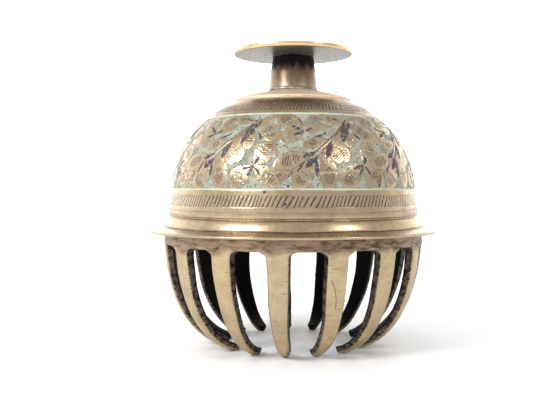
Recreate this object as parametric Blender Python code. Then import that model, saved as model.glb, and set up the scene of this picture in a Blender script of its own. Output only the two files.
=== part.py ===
"""Brass claw bell: an engraved dome on fifteen inward-curved claws, lifted by a disc handle.

Run with: blender --background --python part.py
Metres, +Z up. The origin is on the table, under the middle of the bell. The front faces -Y.
"""

import math

import bmesh
import bpy
from mathutils import Matrix, Vector

MM = 0.001
FIT_GAP = 0.3 * MM
MERGE = 0.05 * MM

# Driving sizes of the bell casting
BELL_HEIGHT = 120.0 * MM
FLANGE_R = 58.3 * MM
DOME_R = 49.6 * MM
DOME_SPRING_Z = 62.0 * MM
DOME_RISE = 42.2 * MM
INNER_R = 46.5 * MM
INNER_RISE = 38.3 * MM
DOME_TOP_Z = 98.4 * MM
STEP_R = 24.2 * MM
STEP_Z = 99.3 * MM
STEP_DROP = 0.45 * MM
CAP_MIDDLE_R = 18.0 * MM
CAP_MIDDLE_Z = 101.6 * MM
BOSS_R = 10.2 * MM
BOSS_FOOT_Z = 103.0 * MM
BOSS_TOP_Z = 103.5 * MM
WALL_R = 50.6 * MM
WALL_TOP_R = 50.2 * MM
WALL_TOP_Z = 58.5 * MM
WALL_FOOT_Z = 54.0 * MM
MOUTH_R = 47.1 * MM
MOUTH_Z = 52.0 * MM
MOULDING_R = 53.1 * MM
MOULDING_TOP_Z = 52.0 * MM
MOULDING_FOOT_Z = 48.5 * MM
FLANGE_EDGE_Z = 47.05 * MM
FLANGE_FOOT_Z = 46.15 * MM

# Claws, spaced round the band under the flange
CLAW_COUNT = 15
FIRST_CLAW_DEG = -6.0
BAND_R = 52.4 * MM
BAND_INNER_R = 48.7 * MM
BAND_FOOT_Z = 41.5 * MM
CLAW_LENGTH = 52.75 * MM
CLAW_THICKNESS = 3.6 * MM
CLAW_TIP_THICKNESS = 3.0 * MM
CLAW_WIDTH = 8.2 * MM
CLAW_DRAFT = 0.8 * MM
CLAW_TIP_WIDTH = 3.8 * MM
CLAW_TAPER_POWER = 1.5
CLAW_ROOT_FILLET = 2.0 * MM
CLAW_CHAMFER = 0.6 * MM
CLAW_TOP_LEAN = math.radians(3.0)
CLAW_TIP_LEAN = math.radians(81.0)
CLAW_CURL = 0.62
CLAW_CURL_POWER = 2.5
CLAW_STEPS = 14
CLAW_PARTS = 8

# Handle: a turned sleeve under a flat disc
STEM_FOOT_R = 9.9 * MM
STEM_MIDDLE_R = 9.0 * MM
STEM_MIDDLE_Z = 112.6 * MM
STEM_TOP_R = 8.3 * MM
DISC_R = 24.4 * MM
DISC_EDGE = 2.1 * MM
DISC_SWELL = 0.5 * MM
DISC_BOSS_R = 10.6 * MM

# Tie rod through the handle, riveted over on the disc, with an eye below the crown
ROD_R = 2.0 * MM
ROD_HEAD_R = 3.6 * MM
ROD_HEAD_DEPTH = 1.4 * MM
WASHER_R = 6.5 * MM
WASHER_SEAT_DROP = 0.9 * MM
WASHER_THICKNESS = 1.0 * MM
COLLAR_R = 3.4 * MM
COLLAR_THICKNESS = 1.5 * MM
EYE_R = 4.0 * MM
EYE_WIRE_R = 1.5 * MM
EYE_NECK = 0.4 * MM

# Clapper: an oval link, a shank with its own eye, and a ball riveted on it
LINK_R = 3.9 * MM
LINK_WIRE_R = 1.1 * MM
LINK_LEG = 3.0 * MM
SHANK_R = 2.0 * MM
SHANK_EYE_R = 3.4 * MM
SHANK_EYE_WIRE_R = 1.3 * MM
BALL_R = 11.5 * MM
BALL_Z = 54.5 * MM
BALL_FLAT = 0.28
RIVET_R = 3.4 * MM
RIVET_FOOT_R = 3.0 * MM

ROUND_STEPS = 64
SMALL_STEPS = 24


def clear_scene():
    for thing in list(bpy.data.objects):
        bpy.data.objects.remove(thing)


def metal(name, colour, roughness, metallic=1.0):
    made = bpy.data.materials.new(name)
    made.use_nodes = True
    shader = made.node_tree.nodes["Principled BSDF"]
    shader.inputs["Base Color"].default_value = (*colour, 1.0)
    shader.inputs["Roughness"].default_value = roughness
    shader.inputs["Metallic"].default_value = metallic
    return made


def linked(name, data, material):
    thing = bpy.data.objects.new(name, data)
    bpy.context.scene.collection.objects.link(thing)
    if not data.materials:
        data.materials.append(material)
    return thing


def smooth(mesh, angle_deg=32.0):
    mesh.shade_smooth()
    mesh.set_sharp_from_angle(angle=math.radians(angle_deg))


def turned(name, outline, material, steps=ROUND_STEPS, closed=True):
    """A solid of revolution, whose outline of (radius, height) goes round its section."""
    mesh = bpy.data.meshes.new(name)
    points = [(radius, 0.0, height) for radius, height in outline]
    edges = [(i, i + 1) for i in range(len(points) - 1)]
    if closed:
        edges.append((len(points) - 1, 0))
    mesh.from_pydata(points, edges, [])
    thing = linked(name, mesh, material)
    screw = thing.modifiers.new("Turn", "SCREW")
    screw.axis = "Z"
    screw.angle = math.tau
    screw.steps = screw.render_steps = steps
    screw.use_smooth_shade = True
    screw.merge_threshold = MERGE
    return thing


def turned_to_axis(name, outline, material, steps=SMALL_STEPS):
    """Like turned, for an open outline that begins and ends on the axis."""
    thing = turned(name, outline, material, steps, closed=False)
    screw = thing.modifiers["Turn"]
    screw.use_merge_vertices = True
    screw.merge_threshold = MERGE
    return thing


def ellipse_arc(radius, rise, z_from, z_to, count):
    """Points of the quarter ellipse that springs from DOME_SPRING_Z, between two heights."""
    angles = [math.asin((z - DOME_SPRING_Z) / rise) for z in (z_from, z_to)]
    steps = [angles[0] + (angles[1] - angles[0]) * i / (count - 1) for i in range(count)]
    return [(radius * math.cos(a), DOME_SPRING_Z + rise * math.sin(a)) for a in steps]


def crown_z():
    """The inside of the crown, at the axis."""
    return DOME_SPRING_Z + INNER_RISE


def bell_dome(material):
    bore_r = ROD_R + FIT_GAP
    outer = [
        (bore_r, BOSS_TOP_Z),
        (BOSS_R - 0.3 * MM, BOSS_TOP_Z),
        (BOSS_R, BOSS_TOP_Z - 0.2 * MM),
        (BOSS_R + 0.6 * MM, BOSS_FOOT_Z),
        (CAP_MIDDLE_R, CAP_MIDDLE_Z),
        (STEP_R - 1.2 * MM, STEP_Z + 0.9 * MM),
        (STEP_R, STEP_Z),
        (STEP_R, STEP_Z - STEP_DROP),
    ]
    outer += ellipse_arc(DOME_R, DOME_RISE, DOME_TOP_Z, DOME_SPRING_Z, 13)
    outer += [
        (WALL_TOP_R, WALL_TOP_Z),
        (WALL_R, WALL_FOOT_Z),
        (WALL_R, MOULDING_TOP_Z + 0.3 * MM),
        (WALL_R + 0.7 * MM, MOULDING_TOP_Z - 0.2 * MM),
        (MOULDING_R - 1.1 * MM, MOULDING_TOP_Z - 1.3 * MM),
        (MOULDING_R - 0.2 * MM, MOULDING_FOOT_Z + 0.7 * MM),
        (MOULDING_R + 0.2 * MM, MOULDING_FOOT_Z),
        (FLANGE_R - 0.4 * MM, FLANGE_EDGE_Z + 0.15 * MM),
        (FLANGE_R, FLANGE_EDGE_Z - 0.1 * MM),
        (FLANGE_R, FLANGE_FOOT_Z + 0.25 * MM),
        (FLANGE_R - 0.4 * MM, FLANGE_FOOT_Z),
    ]
    inner = [(BAND_INNER_R, FLANGE_FOOT_Z), (MOUTH_R, MOUTH_Z)]
    inner += ellipse_arc(INNER_R, INNER_RISE, DOME_SPRING_Z, crown_z() - 0.6 * MM, 8)
    inner += [(bore_r, crown_z())]
    return turned("bell_dome", outer + inner, material)


def claw_band(material):
    top_z = FLANGE_FOOT_Z - FIT_GAP
    outline = [
        (BAND_INNER_R, top_z),
        (BAND_R, top_z),
        (BAND_R, BAND_FOOT_Z),
        (BAND_INNER_R, BAND_FOOT_Z),
    ]
    return turned("claw_band", outline, material, steps=60)


def claw_lean(share):
    """How far the claw leans in at a share of its length. It curls faster and faster towards the tip."""
    curl = (1.0 - CLAW_CURL) * share + CLAW_CURL * share**CLAW_CURL_POWER
    return CLAW_TOP_LEAN + (CLAW_TIP_LEAN - CLAW_TOP_LEAN) * curl


def claw_stations():
    """(length from the root, radius, height, lean) along the outer face of a claw.

    The face leaves the band almost upright and lies nearly flat at the tip. The tip is cut square,
    and its outer corner reaches a little below the table."""
    radius, height = BAND_R, BAND_FOOT_Z - FIT_GAP
    stations = [(0.0, radius, height, CLAW_TOP_LEAN)]
    step = CLAW_LENGTH / (CLAW_STEPS * CLAW_PARTS)
    for i in range(1, CLAW_STEPS * CLAW_PARTS + 1):
        lean = claw_lean((i - 0.5) * step / CLAW_LENGTH)
        radius -= step * math.sin(lean)
        height -= step * math.cos(lean)
        in_fillet = i * step < CLAW_ROOT_FILLET and i % 2 == 0
        if i % CLAW_PARTS == 0 or in_fillet:
            stations.append((i * step, radius, height, claw_lean(i * step / CLAW_LENGTH)))
    return stations


def claw_half_width(length, whole):
    """Half the outer face: widened by a quarter-round fillet at the root, tapered to the tip."""
    half = CLAW_WIDTH / 2
    if length < CLAW_ROOT_FILLET:
        rest = CLAW_ROOT_FILLET - length
        half += CLAW_ROOT_FILLET - math.sqrt(CLAW_ROOT_FILLET**2 - rest**2)
    return half - (CLAW_WIDTH - CLAW_TIP_WIDTH) / 2 * (length / whole) ** CLAW_TAPER_POWER


def claw_mesh():
    """One claw along +X, swept down its stations as an eight-sided bar, wider inside and thinner at the tip.

    Cutting it off at the table leaves the small flat that it stands on."""
    shape = bmesh.new()
    stations = claw_stations()
    whole = stations[-1][0]
    loops = []
    for length, radius, height, lean in stations:
        out = Vector((math.cos(lean), 0.0, -math.sin(lean)))
        face = Vector((radius, 0.0, height))
        half = claw_half_width(length, whole)
        back = half + CLAW_DRAFT / 2
        thick = CLAW_THICKNESS + (CLAW_TIP_THICKNESS - CLAW_THICKNESS) * length / whole
        section = (
            (0.0, -half + CLAW_CHAMFER),
            (0.0, half - CLAW_CHAMFER),
            (CLAW_CHAMFER, half),
            (thick - CLAW_CHAMFER, back),
            (thick, back - CLAW_CHAMFER),
            (thick, -back + CLAW_CHAMFER),
            (thick - CLAW_CHAMFER, -back),
            (CLAW_CHAMFER, -half),
        )
        loops.append(
            [shape.verts.new(face - out * depth + Vector((0.0, side, 0.0))) for depth, side in section]
        )
    for upper, lower in zip(loops, loops[1:]):
        for i in range(len(upper)):
            k = (i + 1) % len(upper)
            shape.faces.new((upper[i], lower[i], lower[k], upper[k]))
    shape.faces.new(loops[0])
    shape.faces.new(reversed(loops[-1]))
    geometry = shape.verts[:] + shape.edges[:] + shape.faces[:]
    cut = bmesh.ops.bisect_plane(
        shape, geom=geometry, plane_co=(0, 0, 0), plane_no=(0, 0, -1), clear_outer=True
    )
    rim = [edge for edge in cut["geom_cut"] if isinstance(edge, bmesh.types.BMEdge)]
    bmesh.ops.contextual_create(shape, geom=rim)
    bmesh.ops.recalc_face_normals(shape, faces=shape.faces)
    mesh = bpy.data.meshes.new("claw")
    shape.to_mesh(mesh)
    shape.free()
    smooth(mesh)
    return mesh


def claws(material):
    mesh = claw_mesh()
    for i in range(CLAW_COUNT):
        # The claw is drawn along +X, and its place is counted from the front, -Y.
        place = FIRST_CLAW_DEG - 90.0 + i * 360.0 / CLAW_COUNT
        claw = linked(f"claw_{i + 1:02d}", mesh, material)
        claw.rotation_euler.z = math.radians(place)


def handle_stem(material):
    foot_z = BOSS_TOP_Z + FIT_GAP
    top_z = BELL_HEIGHT - DISC_EDGE - DISC_SWELL - FIT_GAP
    bore_r = ROD_R + FIT_GAP
    outline = [
        (bore_r, top_z),
        (STEM_TOP_R, top_z),
        (STEM_MIDDLE_R, STEM_MIDDLE_Z),
        (STEM_FOOT_R, foot_z + 0.6 * MM),
        (STEM_FOOT_R - 0.3 * MM, foot_z),
        (bore_r, foot_z),
    ]
    return turned("handle_stem", outline, material, steps=48)


def handle_disc(material):
    """A flat plate, countersunk on top for the riveted end of the tie rod."""
    bore_r = ROD_R + FIT_GAP
    edge_foot_z = BELL_HEIGHT - DISC_EDGE
    middle_foot_z = edge_foot_z - DISC_SWELL
    outline = [
        (bore_r, BELL_HEIGHT - ROD_HEAD_DEPTH),
        (ROD_HEAD_R + FIT_GAP, BELL_HEIGHT),
        (DISC_R - 0.5 * MM, BELL_HEIGHT),
        (DISC_R, BELL_HEIGHT - 0.5 * MM),
        (DISC_R, edge_foot_z + 0.4 * MM),
        (DISC_R - 0.4 * MM, edge_foot_z),
        (DISC_BOSS_R, middle_foot_z),
        (bore_r, middle_foot_z),
    ]
    return turned("handle_disc", outline, material)


def crown_washer(material):
    top_z = crown_z() - WASHER_SEAT_DROP
    foot_z = top_z - WASHER_THICKNESS
    bore_r = ROD_R + FIT_GAP
    outline = [
        (bore_r, top_z),
        (WASHER_R, top_z),
        (WASHER_R, foot_z),
        (bore_r, foot_z),
    ]
    return turned("crown_washer", outline, material, steps=32)


def collar_top_z():
    return crown_z() - WASHER_SEAT_DROP - WASHER_THICKNESS - FIT_GAP


def eye_z():
    """The middle of the tie rod's eye, about which the link swings."""
    return collar_top_z() - COLLAR_THICKNESS - EYE_R - EYE_WIRE_R + EYE_NECK


def upper_link_z():
    """The middle of the link's upper bow, which hangs FIT_GAP over the eye's wire."""
    return eye_z() - EYE_R + EYE_WIRE_R + FIT_GAP + LINK_WIRE_R - LINK_R


def lower_link_z():
    """The middle of the link's lower bow, about which the clapper swings."""
    return upper_link_z() - LINK_LEG


def shank_eye_z():
    return lower_link_z() - LINK_R + LINK_WIRE_R + FIT_GAP + SHANK_EYE_WIRE_R - SHANK_EYE_R


def ring(name, ring_r, wire_r, height, material):
    """A wire ring in the XZ plane."""
    shape = bmesh.new()
    major_steps, minor_steps = 24, 10
    upright = Matrix.Rotation(math.pi / 2, 4, "X")
    move = Matrix.Translation((0.0, 0.0, height))
    rows = []
    for i in range(major_steps):
        turn = math.tau * i / major_steps
        row = []
        for k in range(minor_steps):
            wire = math.tau * k / minor_steps
            reach = ring_r + wire_r * math.cos(wire)
            flat = Vector((reach * math.cos(turn), reach * math.sin(turn), wire_r * math.sin(wire)))
            row.append(shape.verts.new(move @ upright @ flat))
        rows.append(row)
    for i in range(major_steps):
        here, after = rows[i], rows[(i + 1) % major_steps]
        for k in range(minor_steps):
            n = (k + 1) % minor_steps
            shape.faces.new((here[k], after[k], after[n], here[n]))
    bmesh.ops.recalc_face_normals(shape, faces=shape.faces)
    mesh = bpy.data.meshes.new(name)
    shape.to_mesh(mesh)
    shape.free()
    smooth(mesh, 60.0)
    return linked(name, mesh, material)


def joined(thing, other):
    """Unites a helper with thing. The helper itself isn't a piece."""
    union = thing.modifiers.new("Eye", "BOOLEAN")
    union.operation = "UNION"
    union.solver = "EXACT"
    union.object = other
    other.hide_render = True
    other.display_type = "WIRE"


def hung(thing, pivot_z):
    """Moves the object's origin up to the pivot that it swings about, and leaves its shape in place."""
    thing.data.transform(Matrix.Translation((0.0, 0.0, -pivot_z)))
    thing.location.z = pivot_z
    return thing


def tie_rod(material):
    """Its top is hammered into the disc's countersink, and its collar bears on the crown washer."""
    collar_top = collar_top_z()
    collar_foot = collar_top - COLLAR_THICKNESS
    foot_z = eye_z() + EYE_R
    outline = [
        (0.0, BELL_HEIGHT),
        (ROD_HEAD_R, BELL_HEIGHT),
        (ROD_R, BELL_HEIGHT - ROD_HEAD_DEPTH),
        (ROD_R, collar_top),
        (COLLAR_R, collar_top),
        (COLLAR_R, collar_foot),
        (ROD_R, collar_foot - 0.5 * MM),
        (ROD_R, foot_z),
        (0.0, foot_z),
    ]
    rod = turned_to_axis("tie_rod", outline, material)
    joined(rod, ring("tie_rod_eye_ring", EYE_R, EYE_WIRE_R, eye_z(), material))
    return rod


def clapper_link(material):
    """An oval wire link in the YZ plane, hung through the tie rod's eye."""
    bow_steps = 12
    upper, lower = upper_link_z(), lower_link_z()
    points = []
    for middle, start in ((upper, 0.0), (lower, math.pi)):
        for i in range(bow_steps + 1):
            turn = start + math.pi * i / bow_steps
            points.append((0.0, LINK_R * math.cos(turn), middle + LINK_R * math.sin(turn)))
    path = bpy.data.curves.new("clapper_link", "CURVE")
    path.dimensions = "3D"
    path.bevel_depth = LINK_WIRE_R
    path.bevel_resolution = 3
    line = path.splines.new("POLY")
    line.points.add(len(points) - 1)
    for point, place in zip(line.points, points):
        point.co = (*place, 1.0)
    line.use_cyclic_u = True
    return hung(linked("clapper_link", path, material), eye_z())


def clapper_shank(material):
    """The clapper's stem: an eye that hangs on the link, and a foot riveted over under the ball."""
    top_z = shank_eye_z() - SHANK_EYE_R
    rivet_top = BALL_Z - BALL_R * math.sqrt(1.0 - BALL_FLAT**2) - FIT_GAP
    outline = [
        (0.0, top_z),
        (SHANK_R, top_z),
        (SHANK_R, rivet_top),
        (RIVET_R, rivet_top),
        (RIVET_FOOT_R, rivet_top - 0.7 * MM),
        (0.0, rivet_top - 1.0 * MM),
    ]
    shank = hung(turned_to_axis("clapper_shank", outline, material), lower_link_z())
    eye = ring("clapper_shank_eye_ring", SHANK_EYE_R, SHANK_EYE_WIRE_R, shank_eye_z(), material)
    joined(shank, eye)
    return shank


def clapper_ball(material):
    bore_r = SHANK_R + FIT_GAP
    start, end = (math.acos(BALL_FLAT) * sign for sign in (1, -1))
    count = 13
    turns = [start + (end - start) * i / (count - 1) for i in range(count)]
    outline = [(BALL_R * math.cos(t), BALL_Z + BALL_R * math.sin(t)) for t in turns]
    outline += [(bore_r, outline[-1][1]), (bore_r, outline[0][1])]
    return hung(turned("clapper_ball", outline, material, steps=32), lower_link_z())


def main():
    clear_scene()
    brass = metal("engraved_brass", (0.50, 0.36, 0.20), 0.34)
    cast = metal("cast_brass", (0.54, 0.40, 0.22), 0.45)
    handle = metal("handle_brass", (0.42, 0.31, 0.19), 0.32)
    plate = metal("disc_brass", (0.60, 0.45, 0.25), 0.35)
    iron = metal("forged_iron", (0.10, 0.09, 0.08), 0.6)
    dark_brass = metal("clapper_brass", (0.30, 0.22, 0.12), 0.5)
    bell_dome(brass)
    claw_band(cast)
    claws(cast)
    handle_stem(handle)
    handle_disc(plate)
    crown_washer(iron)
    tie_rod(iron)
    clapper_link(iron)
    clapper_shank(iron)
    clapper_ball(dark_brass)


main()
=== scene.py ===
"""Looks of the brass claw bell: engraved dome, filed claws, disc handle and clapper, on a pale table."""

import math

import bmesh
import bpy
import numpy as np
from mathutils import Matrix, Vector


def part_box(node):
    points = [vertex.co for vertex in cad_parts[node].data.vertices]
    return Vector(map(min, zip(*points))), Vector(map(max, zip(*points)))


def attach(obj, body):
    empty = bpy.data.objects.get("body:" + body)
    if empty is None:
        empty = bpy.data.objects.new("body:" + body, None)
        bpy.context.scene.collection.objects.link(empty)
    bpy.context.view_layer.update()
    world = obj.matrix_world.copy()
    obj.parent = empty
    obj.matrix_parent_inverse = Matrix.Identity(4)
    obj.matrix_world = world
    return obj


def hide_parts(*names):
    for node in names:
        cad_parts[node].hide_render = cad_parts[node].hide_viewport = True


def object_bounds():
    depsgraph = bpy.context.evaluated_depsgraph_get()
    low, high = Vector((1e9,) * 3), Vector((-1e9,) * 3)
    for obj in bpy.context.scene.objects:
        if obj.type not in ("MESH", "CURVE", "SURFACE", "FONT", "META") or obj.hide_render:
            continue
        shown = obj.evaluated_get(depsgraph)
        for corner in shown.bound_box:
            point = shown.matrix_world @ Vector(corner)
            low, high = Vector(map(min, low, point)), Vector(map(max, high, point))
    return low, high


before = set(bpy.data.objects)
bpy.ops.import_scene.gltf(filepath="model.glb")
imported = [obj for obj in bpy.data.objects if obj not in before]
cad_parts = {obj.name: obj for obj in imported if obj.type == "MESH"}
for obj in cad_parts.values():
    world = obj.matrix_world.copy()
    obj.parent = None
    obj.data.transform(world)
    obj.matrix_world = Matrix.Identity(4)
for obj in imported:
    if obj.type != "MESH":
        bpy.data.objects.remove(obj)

CAD_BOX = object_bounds()
DOME_LOW, DOME_HIGH = (Vector(corner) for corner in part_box("bell_dome"))

# One millimetre of the design, on the frame: the flange is 58.3 mm in radius.
MM = DOME_HIGH.x / 58.3
DESIGN_FLANGE_FOOT = 46.15


def level(height_mm):
    """The height on the frame of a height in the design, counted from the underside of the flange."""
    return DOME_LOW.z + (height_mm - DESIGN_FLANGE_FOOT) * MM


# ---------------------------------------------------------------- materials


class Graph:
    """Short names for building a material's nodes."""

    def __init__(self, name):
        self.material = bpy.data.materials.new(name)
        self.material.use_nodes = True
        self.tree = self.material.node_tree
        self.shader = self.tree.nodes["Principled BSDF"]
        self.place = self.node("ShaderNodeTexCoord").outputs["Object"]

    def node(self, kind, **settings):
        made = self.tree.nodes.new(kind)
        for key, value in settings.items():
            setattr(made, key, value)
        return made

    def put(self, value, socket):
        if isinstance(value, bpy.types.NodeSocket):
            self.tree.links.new(value, socket)
        elif hasattr(socket.default_value, "__len__") and len(value) == 3 and len(socket.default_value) == 4:
            socket.default_value = (*value, 1.0)
        else:
            socket.default_value = value

    def math(self, operation, a, b=0.0, clamp=False):
        made = self.node("ShaderNodeMath", operation=operation, use_clamp=clamp)
        self.put(a, made.inputs[0])
        self.put(b, made.inputs[1])
        return made.outputs[0]

    def ramp(self, value, low, high, to_low=0.0, to_high=1.0):
        """A smooth step of value from low to high."""
        made = self.node("ShaderNodeMapRange", interpolation_type="SMOOTHSTEP")
        for key, amount in (("Value", value), ("From Min", low), ("From Max", high)):
            self.put(amount, made.inputs[key])
        made.inputs["To Min"].default_value = to_low
        made.inputs["To Max"].default_value = to_high
        return made.outputs["Result"]

    def noise(self, scale, detail=3.0, roughness=0.55, stretch=(1, 1, 1), offset=0.0, kind="Fac"):
        """Noise over the object. Scale counts blobs per millimetre."""
        mapping = self.node("ShaderNodeMapping")
        self.put(self.place, mapping.inputs["Vector"])
        mapping.inputs["Scale"].default_value = [scale * part / MM for part in stretch]
        mapping.inputs["Location"].default_value = (offset, offset * 0.7, offset * 0.3)
        made = self.node("ShaderNodeTexNoise")
        self.put(mapping.outputs[0], made.inputs["Vector"])
        made.inputs["Scale"].default_value = 1.0
        made.inputs["Detail"].default_value = detail
        made.inputs["Roughness"].default_value = roughness
        return made.outputs[kind]

    def mix(self, factor, a, b):
        made = self.node("ShaderNodeMix", data_type="RGBA")
        self.put(factor, made.inputs[0])
        self.put(a, made.inputs[6])
        self.put(b, made.inputs[7])
        return made.outputs[2]

    def blend(self, factor, a, b):
        made = self.node("ShaderNodeMix", data_type="FLOAT")
        self.put(factor, made.inputs[0])
        self.put(a, made.inputs[2])
        self.put(b, made.inputs[3])
        return made.outputs[0]

    def attribute(self, name):
        return self.node("ShaderNodeAttribute", attribute_name=name).outputs["Fac"]

    def height(self):
        """The height over the table, in millimetres of the design."""
        split = self.node("ShaderNodeSeparateXYZ")
        self.put(self.place, split.inputs[0])
        from_flange = self.math("SUBTRACT", split.outputs[2], DOME_LOW.z)
        return self.math("ADD", self.math("DIVIDE", from_flange, MM), DESIGN_FLANGE_FOOT)

    def bump(self, height, depth_mm, before=None):
        made = self.node("ShaderNodeBump")
        made.inputs["Strength"].default_value = 1.0
        made.inputs["Distance"].default_value = depth_mm * MM
        self.put(height, made.inputs["Height"])
        if before is not None:
            self.put(before, made.inputs["Normal"])
        return made.outputs[0]

    def finish(self, colour, metallic, roughness, normal=None):
        self.put(colour, self.shader.inputs["Base Color"])
        self.put(metallic, self.shader.inputs["Metallic"])
        self.put(roughness, self.shader.inputs["Roughness"])
        if normal is not None:
            self.put(normal, self.shader.inputs["Normal"])
        return self.material


BRASS = (0.50, 0.39, 0.26)
BRASS_DULL = (0.39, 0.295, 0.185)
BRASS_PINK = (0.50, 0.37, 0.265)


def brass_colour(g, scale=0.12):
    """Brass that is warmer and duller in patches, with faint brown stains."""
    patches = g.mix(g.ramp(g.noise(scale, 4.0), 0.35, 0.7), BRASS, BRASS_DULL)
    warm = g.mix(g.ramp(g.noise(scale * 2.3, 3.0, offset=9.0), 0.55, 0.8, 0.0, 0.6), patches, BRASS_PINK)
    freckles = g.ramp(g.noise(1.2, 2.0, offset=4.0), 0.68, 0.78, 0.0, 0.2)
    return g.mix(freckles, warm, (0.20, 0.13, 0.08))


def turning_marks(g, depth_mm, before=None, offset=0.0):
    """The fine level lines that the lathe and the polishing wheel leave."""
    lines = g.noise(0.05, 3.0, 0.7, stretch=(1, 1, 90), offset=offset)
    return g.bump(lines, depth_mm, before)


def engraved_brass():
    g = Graph("engraved_brass")
    relief, enamel = g.attribute("relief"), g.attribute("enamel")
    patch, stroke = g.attribute("patch"), g.attribute("stroke")
    ring, pit = g.attribute("ring"), g.attribute("pit")
    wander = g.math("MULTIPLY", g.math("SUBTRACT", g.noise(1.4, 2.0, offset=2.0), 0.5), 0.34)
    edge = g.math("ADD", relief, wander)
    ground = g.ramp(edge, 0.02, -0.16)
    outline = g.math("MULTIPLY", g.ramp(edge, -0.34, -0.06), g.ramp(edge, 0.16, -0.02))
    outline = g.math("MULTIPLY", outline, g.ramp(g.noise(0.5, 2.0, offset=6.0), 0.38, 0.62))

    crown = g.ramp(g.height(), 97.0, 99.0)
    brass = g.mix(g.math("MULTIPLY", crown, 0.9), brass_colour(g), (0.86, 0.70, 0.50))
    mottled = g.ramp(g.noise(0.9, 4.0, 0.7, offset=11.0), 0.36, 0.66)
    pale = g.mix(mottled, (0.315, 0.345, 0.265), (0.355, 0.325, 0.245))
    greyed = g.ramp(g.noise(0.3, 4.0, 0.6, offset=21.0), 0.44, 0.60, 0.0, 0.9)
    pale = g.mix(greyed, pale, (0.225, 0.205, 0.16))
    pale = g.mix(g.ramp(g.noise(0.17, 2.0, offset=25.0), 0.58, 0.68, 0.0, 0.5), pale, (0.27, 0.37, 0.33))
    specks = g.ramp(g.noise(1.3, 3.0, 0.6, offset=15.0), 0.57, 0.64)
    pale = g.mix(specks, pale, (0.05, 0.065, 0.08))
    colour = g.mix(ground, brass, pale)
    colour = g.mix(g.math("MULTIPLY", outline, 0.85), colour, (0.09, 0.06, 0.045))

    two_dyes = g.ramp(g.noise(0.22, 2.0, offset=31.0), 0.46, 0.56)
    dye = g.mix(two_dyes, (0.075, 0.030, 0.030), (0.036, 0.034, 0.040))
    dye = g.mix(g.ramp(g.noise(0.9, 3.0, offset=35.0), 0.58, 0.7), dye, (0.36, 0.34, 0.35))
    filled = g.ramp(g.math("ADD", enamel, g.math("MULTIPLY", wander, 0.6)), -0.08, 0.06)
    colour = g.mix(filled, colour, dye)

    across = g.math("ABSOLUTE", g.math("SUBTRACT", g.math("FRACT", stroke), 0.5))
    across = g.math("SUBTRACT", across, g.ramp(g.height(), 61.8, 62.2, 0.0, 0.07))
    in_patch = g.ramp(g.math("ADD", patch, wander), -0.05, 0.1)
    broken = g.ramp(g.noise(0.8, 3.0, offset=41.0), 0.28, 0.44)
    cut = g.math("MULTIPLY", g.ramp(across, 0.25, 0.11), g.math("MULTIPLY", in_patch, broken))
    colour = g.mix(g.math("MULTIPLY", cut, 0.94), colour, (0.05, 0.03, 0.025))

    line = g.ramp(g.math("ADD", ring, g.math("MULTIPLY", wander, 0.35)), -0.05, 0.12)
    line = g.math("MULTIPLY", line, g.ramp(g.noise(0.16, 3.0, offset=51.0), 0.3, 0.55, 0.5, 0.95))
    colour = g.mix(line, colour, (0.10, 0.07, 0.05))
    border = g.ramp(g.attribute("border"), -0.1, 0.12)
    border = g.math("MULTIPLY", border, g.ramp(g.noise(0.25, 3.0, offset=56.0), 0.3, 0.5, 0.45, 1.0))
    colour = g.mix(border, colour, (0.50, 0.55, 0.42))
    hole = g.ramp(g.math("ADD", pit, wander), -0.05, 0.15)
    colour = g.mix(hole, colour, (0.035, 0.04, 0.05))

    dull = g.math("MAXIMUM", g.math("MAXIMUM", ground, filled), g.math("MAXIMUM", border, hole))
    dull = g.math("MAXIMUM", dull, g.math("MULTIPLY", crown, 0.3))
    metallic = g.math("SUBTRACT", 1.0, g.math("MAXIMUM", dull, g.math("MULTIPLY", cut, 0.7)), clamp=True)
    shine = g.blend(g.ramp(g.noise(0.5, 4.0, offset=61.0), 0.3, 0.7), 0.24, 0.34)
    roughness = g.blend(dull, g.blend(crown, shine, 0.5), 0.62)
    grain = g.bump(g.noise(1.6, 2.0, offset=71.0), 0.004, turning_marks(g, 0.003))
    grooves = g.bump(g.math("SUBTRACT", 1.0, g.math("ADD", cut, line, clamp=True)), 0.012, grain)
    return g.finish(colour, metallic, roughness, grooves)


def claw_scratch(g, high):
    """A curved scratch down the face of the claw to the right of the front one."""
    turn = math.radians(-72.0)
    split = g.node("ShaderNodeSeparateXYZ")
    g.put(g.place, split.inputs[0])
    x, y, _ = split.outputs
    along_x = g.math("MULTIPLY", x, -math.sin(turn) / MM)
    along_y = g.math("MULTIPLY", y, math.cos(turn) / MM)
    side = g.math("ADD", along_x, along_y)
    along = g.math("DIVIDE", g.math("SUBTRACT", 31.8, high), 11.3)
    bend = g.math("POWER", g.math("SUBTRACT", 1.0, along, clamp=True), 2.5)
    off = g.math("ABSOLUTE", g.math("ADD", side, g.math("MULTIPLY", bend, 2.6)))
    ends = g.math("MULTIPLY", g.ramp(along, 0.0, 0.04), g.ramp(along, 1.0, 0.9))
    return g.math("MULTIPLY", g.ramp(off, 0.24, 0.10), ends)


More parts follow.
